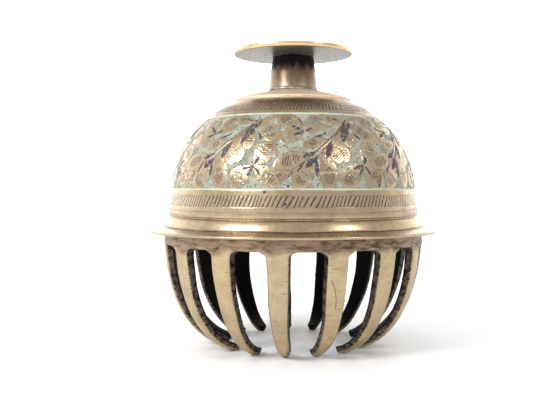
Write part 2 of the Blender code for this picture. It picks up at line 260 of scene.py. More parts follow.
def filed_casting():
    """The claw ring: filed bright outside, black with grime and carbon at the sides, and near black inside,
    which is partly grime and partly painted shade inside the bell.
    """
    g = Graph("filed_casting")
    outward = g.attribute("outward")
    high = g.height()
    wave = g.math("MULTIPLY", g.math("SUBTRACT", g.noise(0.2, 3.0, offset=19.0), 0.5), 7.0)
    band = g.ramp(g.math("ADD", high, wave), 39.0, 43.0)
    teeth = g.math("SUBTRACT", g.noise(0.9, 3.0, 0.7, stretch=(1, 1, 3.5)), 0.5)
    bright = g.ramp(g.math("ADD", outward, g.math("MULTIPLY", teeth, 1.5)), 0.38, 0.50)
    patches = g.ramp(g.noise(0.16, 4.0, offset=3.0), 0.35, 0.7)
    brass = g.mix(patches, (0.52, 0.405, 0.25), (0.44, 0.335, 0.205))
    marks = g.noise(0.22, 4.0, 0.75, stretch=(1, 1, 14), offset=5.0)
    streaky = g.noise(0.35, 3.0, 0.6, stretch=(1, 1, 8), offset=7.0)
    brass = g.mix(g.ramp(streaky, 0.46, 0.66, 0.0, 0.22), brass, (0.25, 0.19, 0.12))
    brass = g.mix(g.ramp(marks, 0.58, 0.67, 0.0, 0.7), brass, (0.13, 0.09, 0.06))
    specks = g.ramp(g.noise(0.9, 3.0, offset=8.0), 0.68, 0.74, 0.0, 0.8)
    brass = g.mix(specks, brass, (0.10, 0.07, 0.05))
    brass = g.mix(g.math("MULTIPLY", claw_scratch(g, high), 0.8), brass, (0.10, 0.07, 0.05))
    streaks = g.noise(0.13, 5.0, 0.7, stretch=(1, 1, 5), offset=13.0)
    rough_band = g.mix(g.ramp(streaks, 0.42, 0.58), (0.33, 0.24, 0.155), (0.10, 0.072, 0.05))
    reddened = g.ramp(g.noise(0.1, 3.0, offset=17.0), 0.5, 0.7, 0.0, 0.8)
    rough_band = g.mix(reddened, rough_band, (0.36, 0.24, 0.16))
    brass = g.mix(g.math("MULTIPLY", band, g.ramp(outward, 0.3, 0.7)), brass, rough_band)
    # Faces turned into the bell get near black, partly grime and partly painted shade; side faces turn brown
    # where rubbed.
    side = g.ramp(outward, -0.25, 0.35)
    rubbed = g.math("MULTIPLY", side, g.ramp(g.noise(0.45, 3.0, offset=23.0), 0.35, 0.65))
    dark = g.mix(rubbed, (0.006, 0.005, 0.005), (0.13, 0.10, 0.08))
    colour = g.mix(bright, dark, brass)
    metallic = g.blend(bright, 0.25, 1.0)
    roughness = g.blend(bright, 0.62, g.blend(band, 0.36, 0.48))
    g.shader.inputs["Specular IOR Level"].default_value = 0.15
    filing = g.bump(marks, 0.05)
    cast = g.bump(g.noise(1.1, 4.0, 0.65, offset=29.0), 0.05, filing)
    return g.finish(colour, metallic, roughness, cast)


def stem_brass():
    """Turned brown brass, with painted shade darkening it towards the disc. The top is near black: partly the
    black streaks where the disc was soldered on, partly painted shade under the disc.
    """
    g = Graph("stem_brass")
    high = g.height()
    base = brass_colour(g, 0.2)
    # Painted shade: the stem gets darker towards the disc above it.
    base = g.mix(g.ramp(high, 103.5, 112.0, 0.45, 0.9), base, (0.13, 0.09, 0.06))
    # Near black top of the stem, ragged with drips: partly black streaks left by the soldering, partly
    # painted shade under the disc.
    drips = g.noise(0.55, 3.0, 0.6, stretch=(1, 1, 0.12), offset=3.0)
    reach = g.math("ADD", high, g.math("MULTIPLY", g.math("SUBTRACT", drips, 0.5), 7.0))
    black_streaks_and_shade = g.ramp(reach, 110.0, 114.2)
    colour = g.mix(black_streaks_and_shade, base, (0.006, 0.005, 0.005))
    foot = g.ramp(high, 104.6, 103.9, 0.0, 0.7)
    colour = g.mix(foot, colour, (0.25, 0.19, 0.14))
    spot = g.ramp(g.noise(0.8, 2.0, offset=8.0), 0.70, 0.76)
    colour = g.mix(spot, colour, (0.06, 0.04, 0.03))
    roughness = g.blend(black_streaks_and_shade, g.blend(g.noise(0.6), 0.26, 0.42), 0.75)
    g.shader.inputs["Specular IOR Level"].default_value = 0.2
    drag = g.bump(g.noise(1.2, 3.0, 0.6, stretch=(1, 1, 0.1), offset=5.0), 0.02)
    return g.finish(colour, g.blend(black_streaks_and_shade, 1.0, 0.3), roughness, turning_marks(g, 0.005, drag, 2.0))


def disc_brass():
    """A polished gold edge and top, and a rough grey underside."""
    g = Graph("disc_brass")
    below = g.attribute("below")
    gold = g.mix(g.ramp(g.noise(0.12, 3.0), 0.4, 0.65), (0.83, 0.62, 0.34), (0.70, 0.50, 0.28))
    scale = g.noise(0.7, 5.0, 0.7, offset=5.0)
    grey = g.mix(g.ramp(scale, 0.38, 0.62), (0.40, 0.37, 0.345), (0.22, 0.20, 0.18))
    grey = g.mix(g.ramp(g.noise(1.3, 3.0, offset=9.0), 0.64, 0.72), grey, (0.05, 0.04, 0.035))
    colour = g.mix(below, gold, grey)
    swirl = g.node("ShaderNodeTexWave", wave_type="RINGS", rings_direction="Z")
    g.put(g.place, swirl.inputs["Vector"])
    swirl.inputs["Scale"].default_value = 260.0
    swirl.inputs["Distortion"].default_value = 0.6
    rings = g.bump(swirl.outputs["Fac"], 0.008)
    pitted = g.bump(g.math("MULTIPLY", scale, below), 0.06, rings)
    return g.finish(colour, g.blend(below, 1.0, 0.85), g.blend(below, 0.27, g.blend(scale, 0.2, 0.5)), pitted)


def forged_iron():
    """Blackened iron with a little brown rust in the hollows."""
    g = Graph("forged_iron")
    rust = g.ramp(g.noise(0.7, 4.0, 0.6), 0.52, 0.68)
    colour = g.mix(rust, (0.10, 0.088, 0.078), (0.17, 0.075, 0.035))
    hammered = g.bump(g.noise(0.55, 3.0, offset=3.0), 0.18)
    fine = g.bump(g.noise(3.2, 3.0, offset=6.0), 0.03, hammered)
    return g.finish(colour, g.blend(rust, 0.9, 0.15), g.blend(rust, 0.48, 0.85), fine)


def cast_clapper():
    """Rough cast brass, worn bright round the middle where it strikes."""
    g = Graph("cast_clapper")
    high = g.height()
    low, high_corner = (Vector(corner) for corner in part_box("clapper_ball"))
    middle = ((low.z + high_corner.z) / 2 - DOME_LOW.z) / MM + DESIGN_FLANGE_FOOT
    off = g.math("ABSOLUTE", g.math("SUBTRACT", high, middle))
    worn = g.ramp(g.math("ADD", off, g.math("MULTIPLY", g.noise(0.5, 3.0), 3.0)), 5.5, 3.0)
    colour = g.mix(worn, (0.16, 0.11, 0.065), (0.55, 0.41, 0.24))
    sand = g.bump(g.noise(1.8, 4.0, 0.65, offset=2.0), 0.14)
    return g.finish(colour, g.blend(worn, 0.75, 1.0), g.blend(worn, 0.6, 0.35), sand)


def solder():
    g = Graph("soft_solder")
    colour = g.mix(g.ramp(g.noise(0.8, 3.0), 0.4, 0.65), (0.56, 0.55, 0.53), (0.30, 0.26, 0.22))
    return g.finish(colour, 0.9, g.blend(g.noise(1.1), 0.3, 0.5), g.bump(g.noise(1.5, 3.0, offset=3.0), 0.1))


def table_top():
    g = Graph("table_top")
    colour = g.mix(g.noise(0.004, 2.0), (0.955, 0.955, 0.96), (0.97, 0.97, 0.97))
    return g.finish(colour, 0.0, 0.55)


# ---------------------------------------------------------------- shapes


def resampled(points, step):
    """Points along the polyline, no further apart than step. The corners stay."""
    out = [points[0]]
    for start, end in zip(points, points[1:]):
        count = max(1, math.ceil(math.hypot(end[0] - start[0], end[1] - start[1]) / step))
        for i in range(1, count + 1):
            share = i / count
            out.append((start[0] + (end[0] - start[0]) * share, start[1] + (end[1] - start[1]) * share))
    return out


def softened(points, passes=1):
    """The polyline with its corners eased, its ends kept."""
    line = np.array(points)
    for _ in range(passes):
        line[1:-1] = line[1:-1] * 0.5 + (line[:-2] + line[2:]) * 0.25
    return [tuple(point) for point in line]


def revolved(name, rows, columns, material, shift):
    """A closed solid of revolution from rows of (radius, height) in metres, top first down the outer side.

    shift(angle, outline) gives an (n_rows, n_columns, 3) offset, which draws it off the pure turned shape."""
    outline = np.array(rows)
    angle = np.arange(columns) / columns * math.tau - math.pi / 2
    radius = outline[:, 0][:, None]
    places = np.empty((len(rows), columns, 3))
    places[..., 0] = radius * np.cos(angle)
    places[..., 1] = radius * np.sin(angle)
    places[..., 2] = outline[:, 1][:, None]
    places += shift(angle, outline)
    return gridded(name, places, material)


def placed(name, data):
    thing = bpy.data.objects.new(name, data)
    bpy.context.scene.collection.objects.link(thing)
    return thing


def gridded(name, places, material):
    """A closed mesh from a grid of places that wraps round both ways."""
    n_rows, n_columns = places.shape[:2]
    row = np.arange(n_rows)[:, None]
    column = np.arange(n_columns)[None, :]
    after_row, after_column = (row + 1) % n_rows, (column + 1) % n_columns
    corners = [row * n_columns + column, after_row * n_columns + column]
    corners += [after_row * n_columns + after_column, row * n_columns + after_column]
    faces = np.stack(corners, axis=-1).reshape(-1, 4)
    mesh = bpy.data.meshes.new(name)
    mesh.vertices.add(n_rows * n_columns)
    mesh.vertices.foreach_set("co", places.reshape(-1))
    mesh.loops.add(faces.size)
    mesh.loops.foreach_set("vertex_index", faces.reshape(-1))
    mesh.polygons.add(len(faces))
    mesh.polygons.foreach_set("loop_start", np.arange(len(faces)) * 4)
    mesh.update(calc_edges=True)
    mesh.shade_smooth()
    mesh.materials.append(material)
    return placed(name, mesh)


def paint(thing, name, values):
    made = thing.data.attributes.new(name, "FLOAT", "POINT")
    made.data.foreach_set("value", np.ascontiguousarray(values, dtype=np.float32).reshape(-1))


# ---------------------------------------------------------------- dome

COLUMNS = 960
SPRING, RISE, DOME_R = 62.0, 42.2, 49.6
INNER_R, INNER_RISE = 46.5, 38.3
FIELD_FOOT, FIELD_TOP = 63.5, 91.4
FAR_OUT = -9.0


def ellipse_radius(height, radius, rise):
    return radius * math.sqrt(max(0.0, 1.0 - ((height - SPRING) / rise) ** 2))


def dome_outline():
    """The dome's outline in millimetres of the design, and how many of its rows are on the outer side."""
    cap = [(9.6, 103.5), (10.2, 103.3), (10.9, 103.0), (14.0, 102.5), (18.0, 101.6), (21.0, 100.8)]
    cap += [(23.0, 100.15), (23.8, 99.75), (24.2, 99.3), (24.25, 99.0), (24.0, 98.8)]
    dome = [(ellipse_radius(z, DOME_R, RISE), z) for z in np.linspace(98.6, 63.0, 110)]
    wall = [(49.85, 60.9), (50.15, 58.5), (50.45, 56.4), (50.6, 54.4), (50.6, 53.2)]
    wall += [(50.25, 52.9), (50.2, 52.5)]
    roll = [(50.7, 52.2), (51.25, 51.9), (51.9, 50.9), (52.5, 49.7), (52.85, 48.95), (52.7, 48.6)]
    flange = [(53.1, 48.45), (54.6, 48.1), (56.6, 47.6), (57.9, 47.2), (58.25, 47.0)]
    flange += [(58.3, 46.7), (58.2, 46.3), (57.9, 46.15)]
    upper = softened(resampled(cap, 0.45), 1)
    middle = resampled(dome, 0.34)
    lower = softened(resampled([middle[-1], *wall, *roll, *flange], 0.32), 1)[1:]
    outer = upper + middle + lower
    inner = [(48.7, 46.15), (47.6, 50.0), (47.0, 54.0), (46.6, 58.0)]
    heights = (62, 68, 74, 80, 85, 89, 92.5, 95.5, 97.8, 99.2)
    inner += [(ellipse_radius(z, INNER_R, INNER_RISE), z) for z in heights]
    inner += [(2.3, 100.3), (2.3, 103.5)]
    return outer + inner, len(outer)


class Engraving:
    """Signed distances, in millimetres, to what is cut in the dome: positive inside each thing.

    Every shape is worked out only on the columns near it."""

    def __init__(self, angle, radius, arc):
        self.angle, self.radius, self.arc = angle, radius, arc
        shape = np.broadcast(angle, arc).shape
        self.relief = np.full(shape, FAR_OUT)
        self.enamel = np.full(shape, FAR_OUT)
        self.patch = np.full(shape, FAR_OUT)
        self.stroke = np.zeros(shape)

    def window(self, angle, arc, reach=24.0):
        """The columns near a place, and flat coordinates in millimetres round it."""
        middle = round(angle / math.tau * COLUMNS)
        half = math.ceil(math.radians(reach) / math.tau * COLUMNS)
        columns = np.arange(middle - half, middle + half + 1) % COLUMNS
        turn = (self.angle[:, columns] - angle + math.pi) % math.tau - math.pi
        return columns, turn * self.radius, self.arc - arc

    def raised(self, kind, columns, values, groove=0.0):
        """Adds a shape. What it overlaps stays parted from it by a cut as wide as groove."""
        layer = getattr(self, kind)
        old = layer[:, columns]
        layer[:, columns] = np.where(values > -groove, values, old) if groove else np.maximum(old, values)

    def run_between(self, base, tip):
        """The middle of two places, and the way from one to the other in millimetres."""
        middle = (base[0] + tip[0]) / 2, (base[1] + tip[1]) / 2
        scale = math.radians(1.0) * np.interp(middle[1], self.arc[::-1, 0], self.radius[::-1, 0])
        return middle, ((tip[0] - base[0]) * scale, tip[1] - base[1])

    def leaf(self, base, tip, width, bend=0.0, swell=1.0, blunt=0.8):
        """The distance to an almond from base to tip. It is widest nearer the tip where swell is over 1."""
        middle, run = self.run_between(base, tip)
        columns, x, y = self.window(math.radians(middle[0]), middle[1])
        length = math.hypot(*run)
        along = (x * run[0] + y * run[1]) / length + length / 2
        aside = (y * run[0] - x * run[1]) / length
        share = np.clip(along / length, 0.0, 1.0)
        aside = aside - bend * 4.0 * share * (1.0 - share)
        half = width / 2 * np.sin(math.pi * share**swell) ** blunt
        past = along - share * length
        inside = np.where(past == 0.0, half - np.abs(aside), -np.hypot(past, aside))
        return columns, np.maximum(inside, FAR_OUT), along, aside, length

    def raise_leaf(self, *shape, **more):
        self.raised("relief", *self.leaf(*shape, **more)[:2], 0.26)

    def fill_leaf(self, *shape, **more):
        self.raised("enamel", *self.leaf(*shape, **more)[:2])

    def stem(self, points, width, cut=0.26):
        """A raised line through the points, with a dark cut along its lower side."""
        for start, end in zip(points, points[1:]):
            middle, run = self.run_between(start, end)
            columns, x, y = self.window(math.radians(middle[0]), middle[1], 8.0)
            length = math.hypot(*run)
            along = np.clip((x * run[0] + y * run[1]) / length, -length / 2, length / 2)
            off_x, off_y = x - along * run[0] / length, y - along * run[1] / length
            self.raised("relief", columns, np.maximum(width / 2 - np.hypot(off_x, off_y), FAR_OUT))
            low_x, low_y = off_x - width * 0.42 * run[1] / length, off_y + width * 0.42 * run[0] / length
            groove = cut / 2 - np.hypot(low_x, low_y)
            self.raised("enamel", columns, np.maximum(groove, FAR_OUT))

    def hatch(self, base, tip, width, at=0.62, size=0.5, pitch=0.95, slant=0.5, broad=0.3, **more):
        """Short slanted strokes in an oval patch on a leaf."""
        columns, inside, along, aside, length = self.leaf(base, tip, width, **more)
        reach, breadth = length * size / 2, width * broad
        spread = np.hypot((along - length * at) / reach, aside / breadth)
        patch = np.where(inside > 0.2, (1.0 - spread) * breadth, FAR_OUT)
        better = patch > self.patch[:, columns]
        self.patch[:, columns] = np.where(better, patch, self.patch[:, columns])
        self.stroke[:, columns] = np.where(better, (along + slant * aside) / pitch, self.stroke[:, columns])

    def marked_leaf(self, base, tip, width, marks=None, **more):
        self.raise_leaf(base, tip, width, **more)
        self.hatch(base, tip, width, **{**(marks or {}), **more})


def curve(points, count):
    """Places along a Bezier curve with four control points."""
    t = np.linspace(0.0, 1.0, count)[:, None]
    p = np.array(points, dtype=float)
    line = (1 - t) ** 3 * p[0] + 3 * t * (1 - t) ** 2 * p[1] + 3 * t**2 * (1 - t) * p[2] + t**3 * p[3]
    return [tuple(place) for place in line]


FLOWER_PITCH_DEG = 48.5
FRONT_FLOWER_DEG = -16.8
CELLS = 8


def cell_turns():
    """Where each repeat's low flower stands, in degrees from the front. The front ones are wider apart."""
    front = [FRONT_FLOWER_DEG + FLOWER_PITCH_DEG * i for i in (-1, 0, 1)]
    rest = (360.0 - 2 * FLOWER_PITCH_DEG) / (CELLS - 2)
    return front + [front[-1] + rest * i for i in range(1, CELLS - 2)]


def engrave_cell(cut, centre, rng):
    """One repeat: a low flower, a high flower, and a spray of leaves that hangs down to the left.

    Places are (degrees round the dome from the low flower, millimetres up from the field's foot)."""

    def at(turn, up):
        wobble = rng.normal(0.0, 0.2, 2)
        return centre + turn + wobble[0], up + wobble[1]

    def flower(turn, up, petals, eye):
        heart = at(turn, up)
        for turn_tip, up_tip, width, marked in petals:
            tip = at(turn + turn_tip, up + up_tip)
            shape = dict(swell=1.45, blunt=0.62)
            if marked:
                marks = dict(at=0.68, size=0.46, slant=rng.uniform(-0.9, 0.9), broad=0.27)
                cut.marked_leaf(heart, tip, width, marks=marks, **shape)
            else:
                cut.raise_leaf(heart, tip, width, **shape)
        for turn_tip, up_tip in eye:
            cut.fill_leaf(heart, at(turn + turn_tip, up + up_tip), rng.uniform(0.9, 1.5), swell=1.2)

    flower(
        0.0, 8.7,
        ((8.2, 8.6, 8.4, True), (9.6, -6.4, 7.4, True), (-10.6, -6.8, 7.8, True)),
        ((-5.4, -1.6), (3.4, -4.2), (2.6, 3.2), (-2.6, -4.4)),
    )
    cut.marked_leaf(at(-7.6, 9.8), at(-9.6, 17.6), 5.4, marks=dict(size=0.4, at=0.5), blunt=0.6)
    flower(
        22.7, 22.2,
        ((-13.4, 8.4, 7.6, True), (-12.8, -3.2, 7.0, False), (8.6, 8.2, 5.8, True), (12.4, 3.0, 3.6, False)),
        ((-6.6, 3.6), (-5.8, -1.4), (3.8, 2.0)),
    )
    cut.fill_leaf(at(26.4, 20.6), at(33.6, 22.8), 1.1, bend=-0.9)
    cut.fill_leaf(at(19.6, 30.6), at(22.4, 25.0), 0.5)

    root = at(-1.4, 28.4)
    spray = (
        (((-6.4, 24.2), (-18.3, 15.6), (-39.4, 0.5)), 0.9),
        (((-8.0, 22.4), (-16.5, 14.5), (-23.2, 9.6)), 0.7),
        (((-7.4, 22.4), (-13.6, 18.0), (-15.8, 18.6)), 0.7),
        (((-6.4, 22.0), (-13.0, 17.6), (-17.4, 9.6)), 1.5),
        (((-4.6, 24.0), (-9.6, 19.2), (-11.6, 15.6)), 0.7),
        (((-3.4, 26.0), (-5.2, 21.6), (-4.6, 16.0)), 0.9),
    )
    for places, width in spray:
        cut.stem(curve([root, *(at(*place) for place in places)], 12), width)
    tall = dict(swell=1.25, blunt=0.62)
    leaves = (
        ((-23.2, 10.6), (-31.0, -0.6), 7.4, 0.0, dict(at=0.62, size=0.36, slant=0.9)),
        ((-18.4, 13.4), (-16.6, -0.4), 6.8, 0.8, dict(at=0.62, size=0.44, slant=0.8)),
        ((-23.4, 12.4), (-40.2, 8.0), 6.4, -0.6, dict(at=0.56, size=0.5, slant=-0.5)),
        ((-15.8, 18.6), (-27.4, 15.8), 4.4, -0.4, dict(at=0.55, size=0.34, slant=0.4)),
        ((-12.4, 16.2), (-11.0, 8.8), 5.4, -0.3, dict(at=0.55, size=0.42, slant=0.7)),
        ((-4.0, 22.8), (-4.4, 15.4), 5.2, 0.0, dict(at=0.5, size=0.2, slant=0.0)),
        ((-1.0, 27.0), (9.8, 18.0), 6.8, 0.4, dict(at=0.56, size=0.42, slant=0.8)),
        ((-3.4, 27.2), (-16.8, 30.6), 4.8, 0.3, dict(at=0.6, size=0.3, slant=0.3)),
        ((-32.0, 6.0), (-41.0, 4.4), 3.0, 0.0, dict(at=0.6, size=0.2, slant=0.3)),
    )
    for base, tip, width, bend, marks in leaves:
        cut.marked_leaf(at(*base), at(*tip), width, bend=bend, marks=marks, **tall)
    cut.raise_leaf(at(-0.6, 28.0), at(8.6, 30.8), 2.6, **tall)
    for base, tip, width in (
        ((-2.8, 27.2), (-8.0, 17.4), 2.6),
        ((-13.2, 18.8), (-17.0, 11.4), 2.2),
        ((-20.6, 14.0), (-27.6, 11.8), 1.8),
        ((-20.6, 11.9), (-26.0, 7.6), 2.5),
        ((-21.4, 11.4), (-21.4, 4.4), 1.5),
        ((-26.4, 10.2), (-30.4, 5.8), 1.0),
        ((-3.2, 25.4), (-3.8, 21.0), 1.5),
        ((0.2, 28.0), (-2.6, 24.0), 1.7),
        ((-1.0, 22.6), (2.0, 18.4), 1.0),
        ((-5.0, 28.0), (-9.6, 29.2), 1.2),
    ):
        cut.fill_leaf(at(*base), at(*tip), width, swell=1.4)


# How deep each kind of cut is, in millimetres
GROUND_DEPTH, ENAMEL_DEPTH, RING_DEPTH, PIT_DEPTH = 0.13, 0.08, 0.05, 0.12
BORDER_DEPTH, STROKE_DEPTH, PETAL_SWELL = 0.10, 0.06, 0.02

# Turned lines, as (height, half width), and the larger pits near the front, as (degrees, height, radius)
TURNED_LINES = [(61.1, 0.14), (57.2, 0.14), (55.3, 0.14), (54.6, 0.12), (96.2, 0.12), (93.1, 0.12)]
TURNED_LINES += [(92.3, 0.1), (48.5, 0.22), (52.5, 0.16), (99.0, 0.12), (102.3, 0.1), (102.8, 0.12)]
FRONT_PITS = [(-11.6, 62.4, 0.62), (-3.1, 58.2, 0.66), (-28.0, 61.2, 0.3), (39.5, 65.0, 0.8)]
FRONT_PITS += [(6.5, 56.8, 0.25), (-2.0, 64.6, 0.55)]

# The unevenness of a belt's spacing, as (waves round the dome, size in strokes)
UNEVEN = ((3, 0.6), (5, 0.5), (11, 0.3), (23, 0.16), (41, 0.08), (67, 0.05))


def strokes_band(cut, height, foot, top, radius, pitch, slant, rng):
    """A belt of slanted strokes, their spacing as uneven as handwork. It starts and ends at the back."""
    ragged = 0.3 * np.sin(cut.angle * 61.0 + 1.0) * np.sin(cut.angle * 37.0)
    inside = np.minimum(height - foot + ragged, top - height) + 0.15
    from_seam = (math.pi - np.abs(cut.angle)) * cut.radius - 0.8
    inside = np.minimum(inside, from_seam)
    count = round(math.tau * radius / pitch)
    waves = rng.uniform(0, math.tau, 6)
    drift = sum(np.sin(cut.angle * n + waves[i]) * size for i, (n, size) in enumerate(UNEVEN))
    phase = cut.angle * count / math.tau + drift - slant * (height - foot) / pitch
    better = inside > cut.patch
    cut.patch = np.where(better, inside, cut.patch)
    cut.stroke = np.where(better, phase, cut.stroke)


def dome_casting():
    outline, n_outer = dome_outline()
    rows = np.array(outline)
    columns = np.arange(COLUMNS)
    angle = (columns / COLUMNS * math.tau)[None, :]
    angle = np.where(angle > math.pi, angle - math.tau, angle)
    radius, height = rows[:n_outer, 0][:, None], rows[:n_outer, 1][:, None]
    step = np.hypot(np.diff(rows[:n_outer, 0]), np.diff(rows[:n_outer, 1]))
    run = np.concatenate([[0.0], np.cumsum(step)])
    foot_run = np.interp(-FIELD_FOOT, -rows[:n_outer, 1], run)
    arc = (foot_run - run)[:, None]
    rng = np.random.default_rng(7)

    cut = Engraving(angle, radius, arc)
    for turn in cell_turns():
        engrave_cell(cut, turn, rng)
    field = np.minimum(height - FIELD_FOOT, FIELD_TOP - height)
    in_field = field > 0.0
    cut.relief = np.where(in_field, cut.relief, np.maximum(0.3, -field))
    cut.enamel = np.where(field > 0.25, cut.enamel, FAR_OUT)
    cut.patch = np.where(field > 0.4, cut.patch, FAR_OUT)
    strokes_band(cut, height, 57.2, 61.0, 50.0, 1.62, 0.42, rng)
    strokes_band(cut, height, 93.2, 95.7, 32.5, 1.25, 0.4, rng)

    border = np.maximum(0.26 - np.abs(height - FIELD_FOOT), 0.24 - np.abs(height - FIELD_TOP))
    border = np.zeros((n_outer, COLUMNS)) + border
    wave = 0.07 * np.sin(angle * 9 + 1.0) + 0.05 * np.sin(angle * 23)
    ring = np.max([half - np.abs(height + wave * 0.6 - place) for place, half in TURNED_LINES], axis=0)
    pit = np.full((n_outer, COLUMNS), FAR_OUT)
    loose = [(rng.uniform(60, 300), rng.uniform(55, 64), rng.uniform(0.2, 0.6)) for _ in range(14)]
    loose += [(rng.uniform(-180, 180), rng.uniform(55, 97), rng.uniform(0.12, 0.26)) for _ in range(60)]
    for turn, up, size in (*FRONT_PITS, *loose):
        away = (angle - math.radians(turn) + math.pi) % math.tau - math.pi
        spot = size - np.hypot(away * radius, height - up)
        pit = np.maximum(pit, spot)

    def ease(value, low, high):
        share = np.clip((value - low) / (high - low), 0.0, 1.0)
        return share * share * (3 - 2 * share)

    sunk = GROUND_DEPTH * ease(-cut.relief, -0.15, 0.3) * in_field
    petal_swell = PETAL_SWELL * ease(cut.relief, 0.2, 2.0) * in_field
    sunk = sunk + ENAMEL_DEPTH * ease(cut.enamel, -0.1, 0.35) * (cut.relief > 0)
    sunk = sunk + RING_DEPTH * ease(ring, -0.05, 0.12) + PIT_DEPTH * ease(pit, -0.05, 0.3)
    sunk = sunk + BORDER_DEPTH * ease(border, -0.1, 0.15)
    belt = (height < FIELD_FOOT) | (height > FIELD_TOP)
    across = np.abs(cut.stroke % 1.0 - 0.5)
    sunk = sunk + STROKE_DEPTH * ease(-across, -0.3, -0.1) * ease(cut.patch, -0.05, 0.15) * belt
    sunk = sunk - petal_swell
    hand = 0.03 * np.sin(angle * 7 + height * 0.3) + 0.015 * np.sin(angle * 13 - height * 0.22 + 2.0)
    sunk = sunk + hand * ease(98.0 - height, 0.0, 4.0) * ease(height, 55.0, 60.0)

    slope = np.gradient(rows[:n_outer], axis=0)
    normal = np.stack([-slope[:, 1], slope[:, 0]], axis=-1)
    normal /= np.linalg.norm(normal, axis=-1, keepdims=True)
    grid = np.empty((len(rows), COLUMNS, 3))
    out = np.broadcast_to(rows[:, 0][:, None], (len(rows), COLUMNS)).copy()
    up = np.broadcast_to(rows[:, 1][:, None], (len(rows), COLUMNS)).copy()
    out[:n_outer] -= sunk * normal[:, 0][:, None]
    up[:n_outer] -= sunk * normal[:, 1][:, None]
    grid[..., 0] = out * np.sin(angle) * MM
    grid[..., 1] = -out * np.cos(angle) * MM
    grid[..., 2] = DOME_LOW.z + (up - DESIGN_FLANGE_FOOT) * MM
    dome = gridded("dome_casting", grid, engraved_brass())

    def full(values, rest):
        padded = np.full((len(rows), COLUMNS), rest, dtype=float)
        padded[:n_outer] = values
        return padded

    paint(dome, "relief", full(cut.relief, 1.0))
    paint(dome, "enamel", full(cut.enamel, FAR_OUT))
    paint(dome, "patch", full(cut.patch, FAR_OUT))
    paint(dome, "stroke", full(cut.stroke, 0.0))
    paint(dome, "ring", full(ring, FAR_OUT))
    paint(dome, "pit", full(pit, FAR_OUT))
    paint(dome, "border", full(border, FAR_OUT))
    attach(dome, "bell")
    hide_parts("bell_dome")
    return dome


# ---------------------------------------------------------------- claws

CLAW_NODES = sorted(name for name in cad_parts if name.startswith("claw_") and name != "claw_band")
BAND_R, BAND_INNER_R, BAND_FOOT = 52.4, 48.7, 41.5
TOP_LEAN, TIP_LEAN = math.radians(3.0), math.radians(81.0)
CLAW_LENGTH, CLAW_CURL, CURL_POWER = 52.75, 0.62, 2.5
CLAW_WIDTH, CLAW_TIP, CLAW_DEPTH, CLAW_TIP_DEPTH = 8.2, 3.8, 3.6, 3.0
CLAW_DRAFT, CLAW_TAPER, CLAW_FILLET = 0.8, 1.5, 2.0
VOXEL = 0.40


def claw_spine():
    """Rows of (length, radius, height, lean) down a claw's outer face, in millimetres of the design.

    The claw curls faster and faster towards its tip."""
    radius, height, count = BAND_R, BAND_FOOT - 0.3, 110
    rows = [(-1.6, BAND_R, height + 1.6, TOP_LEAN), (0.0, BAND_R, height, TOP_LEAN)]
    step = CLAW_LENGTH / count
    for i in range(count):
        share = (i + 0.5) / count
        lean = TOP_LEAN + (TIP_LEAN - TOP_LEAN) * ((1.0 - CLAW_CURL) * share + CLAW_CURL * share**CURL_POWER)
        radius -= step * math.sin(lean)
        height -= step * math.cos(lean)
        if i % 2:
            rows.append(((i + 1) * step, radius, height, lean))
    return rows


def bar_section(half, back, depth, corner):
    """A section from the outer face inwards, as (depth, side) points. The outer edges are filed round."""
    inner = 0.5
    one_side = [(0.0, half * 0.45), (0.06, half - corner), (corner * 0.22, half - corner * 0.45)]
    one_side += [(corner * 0.6, half - corner * 0.1), (corner * 1.15, half)]
    one_side += [(depth - inner, back), (depth - inner * 0.25, back - inner * 0.3), (depth, back - inner)]
    return [(-0.06, 0.0), *one_side, (depth, 0.0), *((deep, -side) for deep, side in reversed(one_side))]


def claw_shape(shape, place, rng):
    """Adds one claw to the bmesh, each a little different, as filed by hand."""
    rows = claw_spine()
    whole = rows[-1][0]
    waves = rng.uniform(0, math.tau, 4)
    broad = 1.0 + rng.uniform(-0.03, 0.05)
    turn = np.array([[math.cos(place), -math.sin(place)], [math.sin(place), math.cos(place)]])
    loops = []
    for length, radius, height, lean in rows:
        half = CLAW_WIDTH / 2 * broad
        if length < CLAW_FILLET:
            rest = CLAW_FILLET - max(length, 0.0)
            half += CLAW_FILLET - math.sqrt(CLAW_FILLET**2 - rest**2)
        to_tip = whole - length
        half -= (CLAW_WIDTH - CLAW_TIP) / 2 * max(0.0, length / whole) ** CLAW_TAPER
        half -= 0.9 * max(0.0, 1.0 - to_tip / 1.1) ** 2
        sway = 0.16 * math.sin(length * 0.16 + waves[0])
        half += 0.07 * math.sin(length * 0.3 + waves[1]) + 0.02 * math.sin(length * 1.4 + waves[2])
        loop = []
        share = max(0.0, length / whole)
        thick = CLAW_DEPTH + (CLAW_TIP_DEPTH - CLAW_DEPTH) * share
        for depth, side in bar_section(half, half + CLAW_DRAFT / 2, thick, 0.7 + 0.7 * share):
            flat = radius - depth * math.cos(lean)
            x, y = turn @ (flat, side + sway * min(1.0, max(0.0, length / 8.0)))
            up = max(height + depth * math.sin(lean), 0.0)
            loop.append(shape.verts.new((x * MM, y * MM, level(up))))
        loops.append(loop)
    for upper, lower in zip(loops, loops[1:]):
        for i in range(len(upper)):
            k = (i + 1) % len(upper)
            shape.faces.new((upper[i], lower[i], lower[k], upper[k]))
    shape.faces.new(loops[0])
    shape.faces.new(reversed(loops[-1]))


def band_shape(shape):
    count = 180
    top = DESIGN_FLANGE_FOOT + 0.25
    outline = [(BAND_INNER_R, top), (BAND_R, top), (BAND_R, BAND_FOOT + 0.3)]
    outline += [(BAND_R - 0.3, BAND_FOOT), (BAND_INNER_R, BAND_FOOT)]
    loops = []
    for i in range(count):
        turn = math.tau * i / count
        across, deep = math.cos(turn) * MM, math.sin(turn) * MM
        loops.append([shape.verts.new((r * across, r * deep, level(z))) for r, z in outline])
    for i in range(count):
        here, after = loops[i], loops[(i + 1) % count]
        for k in range(len(outline)):
            n = (k + 1) % len(outline)
            shape.faces.new((here[k], here[n], after[n], after[k]))


